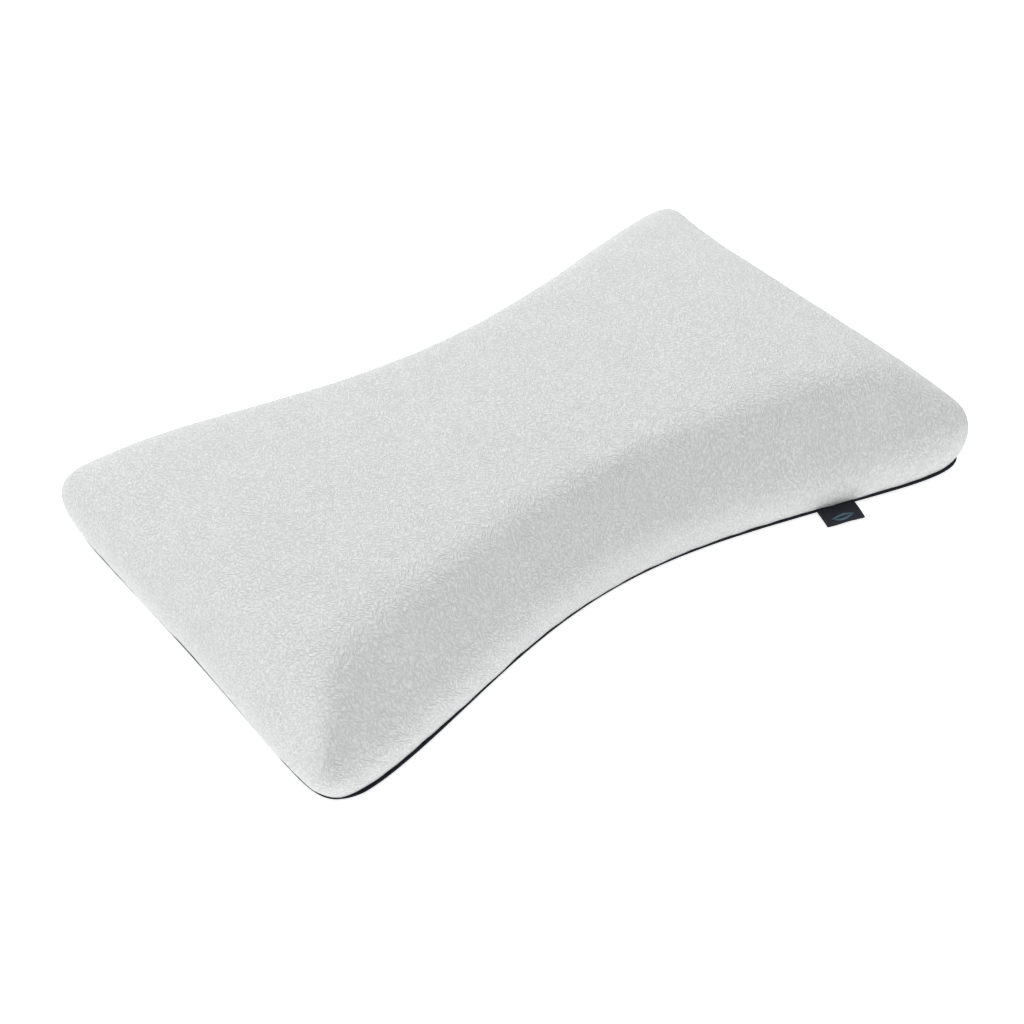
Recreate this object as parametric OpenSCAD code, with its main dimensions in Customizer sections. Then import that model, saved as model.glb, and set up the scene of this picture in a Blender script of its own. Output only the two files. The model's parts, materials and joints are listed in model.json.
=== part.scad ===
/* [Pillow] */
// Length from end to end
pillow_length = 600; // [520:5:700]
// Width of the ends, before the corners are rounded
pillow_width = 384; // [372:2:420]
// Height at the middle of the top
pillow_height = 88; // [76:1:120]
// How far the front edge curves in at the waist
front_waist = 60; // [20:1:62]
// How far the back edge curves in at the waist
back_waist = 58; // [20:1:62]
// Distance from the middle at which the waist ends
waist_reach = 330; // [280:5:350]
// How much higher the front rim of the top is than its middle
front_lift = 10; // [-6:1:12]
// How much lower the top is at the two ends
end_drop = 1; // [0:1:12]
// How much lower the top is at the front and back rims
side_drop = 9; // [0:1:12]
// Corner radius in plan at the girth, where the wall is widest
girth_corner = 48; // [44:1:52]
// Corner radius in plan at the seam
seam_corner = 39; // [34:1:50]
// Width of the rounded slope from the wall to the top
slope_width = 76; // [60:1:90]
// Roundness of the slope, 1 is straight
slope_round = 2.1; // [1.6:0.1:2.6]
// Height of the girth
girth_height = 26; // [22:1:30]
// How far the wall tucks in from the girth to the seam
seam_tuck = 5; // [4:0.5:6]

/* [Cover] */
// Thickness of the knit top panel
knit_thickness = 2; // [1.5:0.1:2.5]
// Thickness of the base panel
base_thickness = 2.2; // [1.5:0.1:2.4]
// Diameter of the piping
piping_diameter = 3.2; // [2.8:0.1:3.6]
// Thickness of the cloth of the piping
piping_cloth = 0.5; // [0.4:0.05:0.6]
// Thickness of the inner liner
liner_thickness = 0.8; // [0.6:0.1:1]

/* [Zip] */
// Length of the zip opening
zip_length = 250; // [180:5:255]
// Height of the middle of the zip above the underside
zip_height = 12; // [12:0.5:13]
// Height of the window that the zip shows in
zip_window = 10.6; // [10:0.2:11]
// Thickness of the zip tape
tape_thickness = 0.6; // [0.5:0.1:0.7]
// Width of one coil, across the zip
coil_width = 2; // [1.6:0.1:2.2]
// How far the coil stands out from the tape
coil_height = 1.6; // [1.4:0.1:1.8]
// Gap between the two closed coils
coil_gap = 1; // [0.9:0.1:1.2]
// Length of the slider
slider_length = 11; // [9:0.5:13]
// Length of the pull tab
tab_length = 22; // [16:1:28]
// Width of the pull tab
tab_width = 5.4; // [4.6:0.2:6]

/* [Labels] */
// Width of the side label along the front seam
label_width = 30; // [24:1:40]
// How far the side label stands out from its root
label_depth = 16; // [12:1:22]
// Place of the side label along the length
label_place = 174; // [80:1:200]
// Width of the care label along the back seam
care_width = 28; // [20:1:34]
// How far the care label stands out from its root
care_depth = 34; // [24:1:40]
// Place of the care label along the length
care_place = -70; // [-120:1:-40]
// Thickness of one layer of label tape
label_tape = 0.4; // [0.3:0.05:0.5]

/* [Hidden] */

// The plan is a rounded rectangle whose long sides curve in at the waist.
// Seen along the length, the wall rises from the seam, is widest at the girth
// and then rolls over the slope on to a slightly domed top.
half_length = pillow_length / 2;
half_width = pillow_width / 2;
end_segments = 8;
side_segments = 20;
corner_segments = 6;
ring_points = 2 * (end_segments + side_segments) + 4 * corner_segments;

// Corners tighten up the slope, so that the hips meet the top in a soft crease
tightening = 1.3;
tightest_corner = 4;

// Clear gap between two layers, and the depth of each layer under the girth
gap = 0.3;
liner_outside = knit_thickness + gap;
foam_outside = liner_outside + liner_thickness + gap;

// Heights, from the underside up
sewn_gap = 0.2;
piping_radius = piping_diameter / 2;
piping_height = base_thickness + sewn_gap + piping_radius;
seam_height = piping_height + piping_radius + sewn_gap;
piping_inset = 0.4;
liner_floor = base_thickness + gap;
foam_floor = liner_floor + liner_thickness + gap;

// The tuck below the girth is an arc that starts upright
tuck_height = girth_height - seam_height;
tuck_radius = (tuck_height * tuck_height + seam_tuck * seam_tuck) / (2 * seam_tuck);

// Levels of the shell, as shares of the height above the girth
tuck_steps = 3;
slope_levels = [0, 0.12, 0.26, 0.4, 0.53, 0.65, 0.76, 0.86, 0.94, 0.985, 1];
top_steps = 3;
last_half_width = 14;

// The zip tape stands upright at the seam line of the right-hand end
run_gap = 0.3;
tape_face = half_length - seam_tuck;
tape_back = tape_face - tape_thickness;
tape_edge = coil_gap / 2 + sewn_gap;
tape_hem = 9;
coil_face = tape_face + coil_height;
coil_edge = coil_gap / 2 + coil_width;
window_top = zip_height + zip_window / 2;
stop_length = 2.4;
stop_inset = 2;
stop_stand = 0.4;
end_tab_length = 4;

// Slider: where it parks, its wings and the wire bail that holds the pull tab
wing_thickness = 0.9;
post_length = 3;
slider_back = tape_back - run_gap - wing_thickness;
slider_front = coil_face + run_gap + wing_thickness;
slider_half = coil_edge + run_gap + wing_thickness;
park_gap = 1.6;
slider_park = zip_length / 2 - slider_length / 2 - stop_inset - stop_length - park_gap;
bail_wire = 0.8;
bail_height = 2.8;
bail_length = 7;
bail_width = 2.8;
tab_thickness = 0.7;
tab_play = 0.15;
tab_axis = slider_front + bail_height - bail_wire - tab_thickness / 2 - tab_play;

// Hollow behind the zip in the foam and liner
relief_face = slider_back - 2 * run_gap;
relief_margin = 8;
relief_top = 30;

// Labels turn about their stitched roots, just outside the piping
label_slot = 0.2;
label_half = label_tape + label_slot / 2;
label_stitched = 2;
label_root = piping_radius + label_half + sewn_gap;
label_height = piping_height - piping_inset;

// How much of the waist there is at x: 1 in the middle, 0 from where it ends
function waist(x) = (1 + cos(180 * min(1, abs(x) / waist_reach))) / 2;

// Half of the width at x, on the front (y below 0) or the back
function half_width_at(x, y) = half_width - (y < 0 ? front_waist : back_waist) * waist(x);

// Points of a rounded rectangle, anticlockwise from the middle of the right end
function run(from, to, steps) = [for (i = [0 : steps - 1]) from + (to - from) * i / steps];
function arc(cx, cy, r, start) = [
    for (i = [0 : corner_segments - 1])
        let (a = start + 90 * i / corner_segments) [cx + r * cos(a), cy + r * sin(a)]
];
function rounded_rectangle(hl, hw, r) = concat(
    run([hl, 0], [hl, hw - r], end_segments / 2),
    arc(hl - r, hw - r, r, 0),
    run([hl - r, hw], [r - hl, hw], side_segments),
    arc(r - hl, hw - r, r, 90),
    run([-hl, hw - r], [-hl, r - hw], end_segments),
    arc(r - hl, r - hw, r, 180),
    run([r - hl, -hw], [hl - r, -hw], side_segments),
    arc(hl - r, r - hw, r, 270),
    run([hl, r - hw], [hl, 0], end_segments / 2)
);

// The outline of a layer at a depth under the surface, for an inset from its edge
function outline(depth, inset, corner) =
    let (
        flat = rounded_rectangle(half_length - depth - inset, half_width - depth - inset, corner),
        full = half_width - depth
    )
    [for (p = flat) [p[0], p[1] * (half_width_at(p[0], p[1]) - depth) / full]];
function slope_outline(depth, inset) =
    outline(depth, inset, max(girth_corner - depth - tightening * inset, tightest_corner));
function tuck_outline(depth, inset) =
    outline(depth, inset, girth_corner - depth + (seam_corner - girth_corner) * inset / seam_tuck);
function seam_outline(inset) = outline(0, seam_tuck + inset, seam_corner);

// Height of the top of a layer over a point of the plan
function top_height(p, depth) =
    pillow_height - depth
    - front_lift * p[1] / half_width
    - end_drop * pow(p[0] / half_length, 2)
    - side_drop * pow(p[1] / half_width, 2);

// Inset of the wall at a height under the girth, and at a level of the slope
function tuck_inset(z) = tuck_radius - sqrt(pow(tuck_radius, 2) - pow(girth_height - z, 2));
function slope_inset(level) = slope_width * (1 - pow(1 - level, 1 / slope_round));

// Rings of the shell, from its lower edge up to the last ring of the top
function tuck_rings(depth, floor_z) = [
    for (i = [0 : tuck_steps - 1])
        let (z = floor_z + (girth_height - floor_z) * i / tuck_steps)
        [for (p = tuck_outline(depth, tuck_inset(z))) [p[0], p[1], z]]
];
function slope_rings(depth) = [
    for (level = slope_levels)
        [for (p = slope_outline(depth, slope_inset(level)))
            [p[0], p[1], girth_height + (top_height(p, depth) - girth_height) * level]]
];
function top_rings(depth) = [
    for (i = [1 : top_steps])
        let (inset = slope_width + (half_width - depth - last_half_width - slope_width) * i / top_steps)
        [for (p = slope_outline(depth, inset)) [p[0], p[1], top_height(p, depth)]]
];
function shell_rings(depth, floor_z) =
    concat(tuck_rings(depth, floor_z), slope_rings(depth), top_rings(depth));

// Triangles between two rings that start at points a and b
function band(a, b) = [
    for (i = [0 : ring_points - 1])
        let (j = (i + 1) % ring_points)
        each [[a + i, b + j, a + j], [a + i, b + i, b + j]]
];
// Triangles that close the ring at point a around a middle point
function cap(a, middle) = [
    for (i = [0 : ring_points - 1])
        [a + (i + 1) % ring_points, a + i, middle]
];
function flipped(faces) = [for (f = faces) [f[0], f[2], f[1]]];
function bands(first, count) = [
    for (k = [0 : count - 2])
        each band(first + k * ring_points, first + (k + 1) * ring_points)
];

function middle_of_top(depth) = [0, 0, top_height([0, 0], depth)];

// A solid pillow shape with a flat underside
module filled_shape(depth, floor_z) {
    rings = shell_rings(depth, floor_z);
    count = len(rings);
    size = count * ring_points;
    polyhedron(
        points = concat([for (r = rings) each r], [middle_of_top(depth), [0, 0, floor_z]]),
        faces = flipped(concat(
            bands(0, count),
            cap(size - ring_points, size),
            flipped(cap(0, size + 1))
        ))
    );
}

// A pillow-shaped shell, open underneath
module shell_shape(depth, thickness, floor_z) {
    outer = shell_rings(depth, floor_z);
    inner = shell_rings(depth + thickness, floor_z);
    count = len(outer);
    size = count * ring_points;
    polyhedron(
        points = concat(
            [for (r = concat(outer, inner)) each r],
            [middle_of_top(depth), middle_of_top(depth + thickness)]
        ),
        faces = flipped(concat(
            bands(0, count),
            cap(size - ring_points, 2 * size),
            flipped(bands(size, count)),
            flipped(cap(2 * size - ring_points, 2 * size + 1)),
            flipped(band(0, size))
        ))
    );
}

// A ring swept along the seam, with its section given as [outwards, up] points
module seam_sweep(section) {
    path = seam_outline(piping_inset);
    size = len(section);
    polyhedron(
        points = [
            for (i = [0 : ring_points - 1])
                let (
                    before = path[(i + ring_points - 1) % ring_points],
                    after = path[(i + 1) % ring_points],
                    along = (after - before) / norm(after - before)
                )
                each [for (s = section)
                    [path[i][0] + s[0] * along[1], path[i][1] - s[0] * along[0], piping_height + s[1]]]
        ],
        faces = [
            for (i = [0 : ring_points - 1], k = [0 : size - 1])
                let (
                    a = i * size,
                    b = ((i + 1) % ring_points) * size,
                    n = (k + 1) % size
                )
                each [[a + k, b + k, b + n], [a + k, b + n, a + n]]
        ]
    );
}

// Room for the zip behind the end wall
module zip_relief() {
    translate([relief_face, -zip_length / 2 - relief_margin, 0])
        cube([half_length, zip_length + 2 * relief_margin, relief_top]);
}

// A flat plate with the outline of the seam
module seam_plate(inset, thickness, z) {
    translate([0, 0, z])
        linear_extrude(thickness)
            polygon(seam_outline(inset));
}

module foam_core() {
    color("lemonchiffon")
        difference() {
            filled_shape(foam_outside, foam_floor);
            zip_relief();
        }
}

module liner_top() {
    color("whitesmoke")
        difference() {
            shell_shape(liner_outside, liner_thickness, foam_floor);
            zip_relief();
        }
}

module liner_base() {
    color("whitesmoke")
        difference() {
            seam_plate(liner_outside + sewn_gap, liner_thickness, liner_floor);
            zip_relief();
        }
}

// The knit panel leaves a window over the zip along its lower edge
module cover_top() {
    color("gainsboro")
        difference() {
            shell_shape(0, knit_thickness, seam_height);
            translate([relief_face, -zip_length / 2, 0])
                cube([half_length, zip_length, window_top]);
        }
}

module cover_base() {
    color("midnightblue")
        seam_plate(piping_inset, base_thickness, 0);
}

// The cloth wraps the cord and is left open by a slit on its inner side
module piping_cloth() {
    sides = 10;
    slit = 20;
    angles = [for (i = [0 : sides]) slit - 180 + (360 - 2 * slit) * i / sides];
    outer = [for (a = angles) piping_radius * [cos(a), sin(a)]];
    inner = (1 - piping_cloth / piping_radius) * outer;
    color("midnightblue")
        seam_sweep(concat(outer, [for (i = [sides : -1 : 0]) inner[i]]));
}

module piping_cord() {
    sides = 8;
    cord_radius = piping_radius - piping_cloth - sewn_gap;
    color("white")
        seam_sweep([for (i = [0 : sides - 1]) cord_radius * [cos(360 * i / sides), sin(360 * i / sides)]]);
}

// A straight strip on one side of the zip's middle line: side is 1 above and -1 below
module zip_strip(x, thickness, length, near, far, side) {
    low = side > 0 ? near : -far;
    translate([x, -length / 2, zip_height + low])
        cube([thickness, length, far - near]);
}

module zip_tape_upper() {
    color("midnightblue")
        zip_strip(tape_back, tape_thickness, zip_length, tape_edge, tape_hem, 1);
}

module zip_tape_lower() {
    color("midnightblue")
        zip_strip(tape_back, tape_thickness, zip_length, tape_edge, zip_height - seam_height, -1);
}

module zip_coil(side) {
    length = zip_length - 2 * (stop_inset + stop_length);
    zip_strip(tape_face, coil_height, length, coil_gap / 2, coil_edge, side);
}

module zip_coil_upper() {
    color("darkslateblue")
        zip_coil(1);
}

module zip_coil_lower() {
    color("darkslateblue")
        zip_coil(-1);
}

// Clamps past the coils' ends, one on each coil, where the slider parks
module zip_top_stops() {
    color("silver")
        for (side = [1, -1])
            translate([0, zip_length / 2 - stop_inset - stop_length / 2, 0])
                zip_strip(tape_face, coil_height + stop_stand, stop_length, coil_gap / 2, coil_edge, side);
}

// One clamp across both coils at the far end
module zip_bottom_stop() {
    color("silver")
        translate([0, stop_inset + stop_length / 2 - zip_length / 2, 0])
            zip_strip(tape_face, coil_height + stop_stand, stop_length, -coil_edge, coil_edge, 1);
}

// A folded strip joins the two tapes behind each end of the zip
module zip_end_tabs() {
    low = seam_height + sewn_gap;
    middle = zip_length / 2 - run_gap - end_tab_length / 2;
    color("midnightblue")
        for (end = [1, -1])
            translate([tape_back - sewn_gap - tape_thickness, end * middle - end_tab_length / 2, low])
                cube([tape_thickness, end_tab_length, zip_height + tape_hem - low]);
}

// A block through the slider, from one height across the zip to its mirror image
module across_slider(x, y, size_x, size_y, half) {
    translate([x, y, -half])
        cube([size_x, size_y, 2 * half]);
}

// Two wings with flanges outside the coils, a thin post between the coils,
// and a wire bail on the front for the pull tab
module zip_slider() {
    depth = slider_front - slider_back;
    hollow = coil_face - tape_back + 2 * run_gap;
    color("silver")
        translate([0, slider_park, zip_height]) {
            difference() {
                across_slider(slider_back, -slider_length / 2, depth, slider_length, slider_half);
                across_slider(
                    tape_back - run_gap, -slider_length, hollow, 2 * slider_length,
                    slider_half - wing_thickness
                );
                across_slider(
                    tape_back - run_gap, -slider_length, tape_thickness + 2 * run_gap, 2 * slider_length,
                    2 * slider_half
                );
            }
            across_slider(
                slider_back + wing_thickness / 2, slider_length / 2 - post_length,
                depth - wing_thickness, post_length, coil_gap / 2 - run_gap
            );
            difference() {
                across_slider(
                    slider_front - bail_wire / 2, -bail_length / 2,
                    bail_height + bail_wire / 2, bail_length, bail_width / 2
                );
                across_slider(
                    slider_front, bail_wire - bail_length / 2,
                    bail_height - bail_wire, bail_length - 2 * bail_wire, bail_width
                );
            }
        }
}

// The round bar of the tab's eye lies under the bail, and the tab lies along the zip.
// It turns about that bar, which stands upright.
module zip_pull_tab() {
    eye_length = bail_length / 2 + run_gap + sewn_gap;
    eye_width = bail_width + 2 * run_gap;
    color("silver")
        translate([tab_axis, slider_park, zip_height]) {
            cylinder(h = tab_width, d = tab_thickness, center = true, $fn = 32);
            difference() {
                translate([-tab_thickness / 2, -tab_length, -tab_width / 2])
                    cube([tab_thickness, tab_length, tab_width]);
                translate([-tab_thickness, -eye_length, -eye_width / 2])
                    cube([2 * tab_thickness, eye_length + 1, eye_width]);
            }
        }
}

// Places a label on the seam, with its own +Y pointing outwards: side is 1 at the back
function seam_at(x, side) = side * half_width_at(x, side) * (1 - seam_tuck / half_width);
module on_seam(place, side) {
    slope = (seam_at(place + 1, side) - seam_at(place - 1, side)) / 2;
    translate([place, seam_at(place, side), label_height])
        rotate([0, 0, atan(slope) + (side > 0 ? 0 : 180)])
            children();
}

// A loop of tape, stitched together at its root and folded at its outer end
module folded_label(width, depth) {
    fold = depth - label_half;
    translate([width / 2, label_root, 0])
        rotate([0, -90, 0])
            linear_extrude(width)
                difference() {
                    union() {
                        translate([-label_half, 0])
                            square([2 * label_half, fold]);
                        for (y = [0, fold])
                            translate([0, y])
                                circle(r = label_half, $fn = 32);
                    }
                    translate([-label_slot / 2, label_stitched])
                        square([label_slot, fold - label_stitched]);
                }
}

module side_label() {
    color("midnightblue")
        on_seam(label_place, -1)
            folded_label(label_width, label_depth);
}

module care_label() {
    color("white")
        on_seam(care_place, 1)
            folded_label(care_width, care_depth);
}

foam_core();
liner_top();
liner_base();
cover_top();
cover_base();
piping_cloth();
piping_cord();
zip_tape_upper();
zip_tape_lower();
zip_coil_upper();
zip_coil_lower();
zip_top_stops();
zip_bottom_stop();
zip_end_tabs();
zip_slider();
zip_pull_tab();
side_label();
care_label();
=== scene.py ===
# A waisted neck-support pillow: moulded foam in a liner and a zipped knit cover.
# Shapes are worked out in millimetres, and add_mesh() turns them into metres.
# X runs along the length to the zipped end, -Y is the front with the side label, Z is up.

import json
import math

import bmesh
import bpy
import numpy as np
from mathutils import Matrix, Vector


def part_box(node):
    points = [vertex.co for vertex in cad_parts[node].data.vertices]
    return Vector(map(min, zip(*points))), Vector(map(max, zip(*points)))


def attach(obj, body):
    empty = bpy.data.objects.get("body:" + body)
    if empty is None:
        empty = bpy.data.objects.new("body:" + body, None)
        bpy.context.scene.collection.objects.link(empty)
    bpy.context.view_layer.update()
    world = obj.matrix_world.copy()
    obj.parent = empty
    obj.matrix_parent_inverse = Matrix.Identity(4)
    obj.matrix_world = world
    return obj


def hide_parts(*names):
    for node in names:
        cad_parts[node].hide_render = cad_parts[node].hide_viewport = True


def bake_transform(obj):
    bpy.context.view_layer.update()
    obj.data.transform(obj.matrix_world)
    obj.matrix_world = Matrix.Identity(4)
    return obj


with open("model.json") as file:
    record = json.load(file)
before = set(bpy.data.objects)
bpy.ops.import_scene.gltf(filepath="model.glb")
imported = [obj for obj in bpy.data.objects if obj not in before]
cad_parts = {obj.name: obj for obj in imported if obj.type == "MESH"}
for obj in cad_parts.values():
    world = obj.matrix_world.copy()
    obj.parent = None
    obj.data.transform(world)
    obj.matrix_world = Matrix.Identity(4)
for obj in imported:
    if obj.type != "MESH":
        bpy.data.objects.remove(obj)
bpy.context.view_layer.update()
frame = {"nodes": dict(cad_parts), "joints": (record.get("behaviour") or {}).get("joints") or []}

MM = 0.001
UP = np.array([0.0, 0.0, 1.0])


def box_mm(node):
    """Lowest and highest corner of a CAD node, in millimetres."""
    low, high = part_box(node)
    return np.array(low) / MM, np.array(high) / MM


# ---------------- sizes

cover_low, cover_high = box_mm("cover_top")
half_length = cover_high[0]
seam_height = cover_low[2]

# Plan: a rounded rectangle whose long sides curve in at the waist, and one end a little
half_width = 192.0
front_waist, back_waist, end_waist = 60.0, 58.0, 2.4
front_inset = 2.5
# The front is nipped in a little more beside the label: how far, at which x, and how widely
nip, nip_place, nip_reach = 1.8, 195.0, 65.0
waist_reach = 330.0
# How much more slowly than the plan the slopes over the waist move in
waist_share = 1.1
girth_corner = 44.0

# Heights of the girth, where the wall is widest, and of the top
girth_height = 26.0
top_height = 88.0
front_lift = 10.8
end_rise, side_drop = 5.0, 9.9

# Slopes from the wall up to the top: how far in they reach, and where they start
end_slope, zip_end_slope, front_slope, back_slope = 40.0, 41.0, 53.5, 34.4
end_start, side_start = 34.6, 38.2
widest_height = 31.7
end_tuck, side_tuck = 5.0, 4.4

# How softly the surfaces meet, in millimetres
wall_softness = 6.5
end_crest_softness = 15.0
high_hip_softness = 6.5

# Each corner has its own roundness, low and at the middle of the height, its own flare outward
# (inward if below 0) and its own puff, which lifts the start of its slopes. The values are for
# the near left and right corners, then for the far ones
middle_level = 0.45
low_hip_softness = ((15.0, 13.5), (13.5, 9.0))
middle_hip_softness = ((4.0, 13.0), (8.0, 7.0))
end_flare = ((0.0, 5.0), (-2.5, 11.0))
side_flare = ((0.0, -4.0), (7.0, -11.0))
flare_reach = 26.0
corner_puff = ((0.0, 25.0), (4.0, 18.0))
puff_reach = 41.0

# Layers, as in the CAD model
knit_thickness = 2.0
liner_depth = 2.3
liner_thickness = 0.8
foam_depth = 3.4
piping_low, piping_high = box_mm("piping_cloth")
piping_radius = (piping_high[2] - piping_low[2]) / 2
piping_height = (piping_high[2] + piping_low[2]) / 2

# The window over the zip, from the CAD nodes behind it
tape_high = box_mm("zip_tape_lower")[1]
zip_half_length = tape_high[1]
slider_low, slider_high = box_mm("zip_slider")
zip_height = (slider_low[2] + slider_high[2]) / 2
window_top = 17.3

# ---------------- shape of the cover


def soft_max(a, b, softness):
    """The larger of two distances, with a rounded change from one to the other."""
    return np.maximum(a, b) + softness * np.log1p(np.exp(-np.abs(a - b) / softness))


def cosine_dip(x, reach):
    """1 at the middle, falling smoothly to 0 at the reach."""
    return (1 + np.cos(np.pi * np.clip(x / reach, -1, 1))) / 2


def half_width_at(x, y):
    """Half of the width at x, on the front, where y is below 0, or on the back."""
    waist = np.where(y < 0, front_waist, back_waist) * cosine_dip(x, waist_reach)
    nipped = nip * np.exp(-((x - nip_place) / nip_reach) ** 2)
    return half_width - waist - np.where(y < 0, front_inset + nipped, 0)


def end_dip(x, y):
    """How far each end curves in at its middle: one end, and half as much the zipped one."""
    return np.where(x < 0, end_waist, end_waist / 2) * cosine_dip(y, half_width)


def by_corner(values, x, y):
    """The value for the corner whose quarter of the plan a point is in."""
    near, far = values
    return np.where(y < 0, np.where(x < 0, *near), np.where(x < 0, *far))


def height_of_top(x, y):
    """The height of the top face, which is higher at the front and at the ends."""
    return (
        top_height
        - front_lift * y / half_width
        + end_rise * (x / half_length) ** 2
        - side_drop * (y / half_width) ** 2
    )


def outside(point):
    """How far a point lies outside the cover: below 0 inside it."""
    x, y, z = point[..., 0], point[..., 1], point[..., 2]
    edge = half_width_at(x, y)
    across = np.abs(y) * half_width / edge
    to_side = np.clip(half_width - across, 0, None)
    to_end = np.clip(half_length - np.abs(x), 0, None)
    from_end = half_length - np.abs(x) - end_dip(x, across)
    from_end = from_end + by_corner(end_flare, x, y) * np.exp(-to_side / flare_reach)
    from_side = (edge - np.abs(y)) * (half_width / edge) ** waist_share
    from_side = from_side + by_corner(side_flare, x, y) * np.exp(-to_end / flare_reach)
    puff = by_corner(corner_puff, x, y)
    puffed_end = end_start + puff * np.exp(-to_side / puff_reach)
    puffed_side = side_start + puff * np.exp(-to_end / puff_reach)
    top = height_of_top(x, y)
    low = (np.maximum(widest_height - z, 0) / (widest_height - seam_height)) ** 2

    def side(inset, slope, tuck, start):
        rise = top - start
        wall = tuck * low - inset
        slant = (z - start - rise * inset / slope) / np.sqrt(1 + (rise / slope) ** 2)
        return soft_max(wall, slant, wall_softness)

    level = np.clip((z - seam_height) / (top_height - seam_height), 0, 1)
    low_hip = by_corner(low_hip_softness, x, y)
    middle_hip = by_corner(middle_hip_softness, x, y)
    lower = np.clip(level / middle_level, 0, 1)
    upper = np.clip((level - middle_level) / (1 - middle_level), 0, 1)
    hip_softness = low_hip + (middle_hip - low_hip) * lower
    hip_softness = hip_softness + (high_hip_softness - middle_hip) * upper
    slope_x = np.where(x < 0, end_slope, zip_end_slope)
    slope_y = np.where(y < 0, front_slope, back_slope)
    ends = soft_max(side(from_end, slope_x, end_tuck, puffed_end), z - top, end_crest_softness)
    return soft_max(ends, side(from_side, slope_y, side_tuck, puffed_side), hip_softness)


HALVINGS = 36


def find_surface(start, direction, reach, depth):
    """Points at a depth under the cover's surface, out along a direction from points inside."""
    start, direction = np.broadcast_arrays(start, direction)
    near = np.zeros(start.shape[:-1])
    far = np.full(start.shape[:-1], float(reach))
    for _ in range(HALVINGS):
        middle = (near + far) / 2
        inside = outside(start + direction * middle[..., None]) < -depth
        near = np.where(inside, middle, near)
        far = np.where(inside, far, middle)
    return start + direction * near[..., None]


def raised(plan, height):
    """Plan points with a height: one number, or one for each point."""
    return np.concatenate([plan, np.broadcast_to(height, plan.shape[:-1])[..., None]], axis=-1)


def quarter_outline(half_x, half_y, corner, end_shares, side_shares):
    """Points from the middle of an end, round one corner, to the middle of a side."""
    half_arc = corner * math.pi / 4
    end_run = end_shares * (half_y - corner + half_arc)
    side_run = (1 - side_shares) * (half_x - corner + half_arc)
    turn = np.clip(end_run - (half_y - corner), 0, None) / corner
    end = np.stack([
        half_x - corner + corner * np.cos(turn),
        np.minimum(end_run, half_y - corner) + corner * np.sin(turn),
    ], axis=-1)
    turn = np.clip(side_run - (half_x - corner), 0, None) / corner
    side = np.stack([
        np.minimum(side_run, half_x - corner) + corner * np.sin(turn),
        half_y - corner + corner * np.cos(turn),
    ], axis=-1)
    return np.concatenate([end[:-1], side])


def waisted(plan):
    """Points of the plain rounded rectangle's plan, moved in where its edges curve in."""
    x, y = plan[..., 0], plan[..., 1]
    shares = 1 - end_dip(x, y) / half_length, half_width_at(x, y) / half_width
    return plan * np.stack(shares, axis=-1)


def whole_outline(quarter):
    """The four quarters with the waist, anticlockwise from the middle of the right-hand end."""
    return waisted(np.concatenate([
        quarter[:-1],
        (quarter[::-1] * [-1, 1])[:-1],
        (quarter * [-1, -1])[:-1],
        (quarter[::-1] * [1, -1])[:-1],
    ]))


def outward(ring):
    """Unit vectors that point out of a closed outline."""
    along = unit(np.roll(ring, -1, axis=0) - np.roll(ring, 1, axis=0))
    return np.stack([along[:, 1], -along[:, 0]], axis=-1)


# How far in from the edge the walls' grid ends and the top's begins
CREST_INSET = 66.0
# Directions tried up each slope before its points are spaced evenly
DENSE_STEPS = 72
# How far a search for the surface goes: each way through a wall, and up or out from inside
WALL_MARGIN, FAR_OUT = 40.0, 160.0


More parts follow.
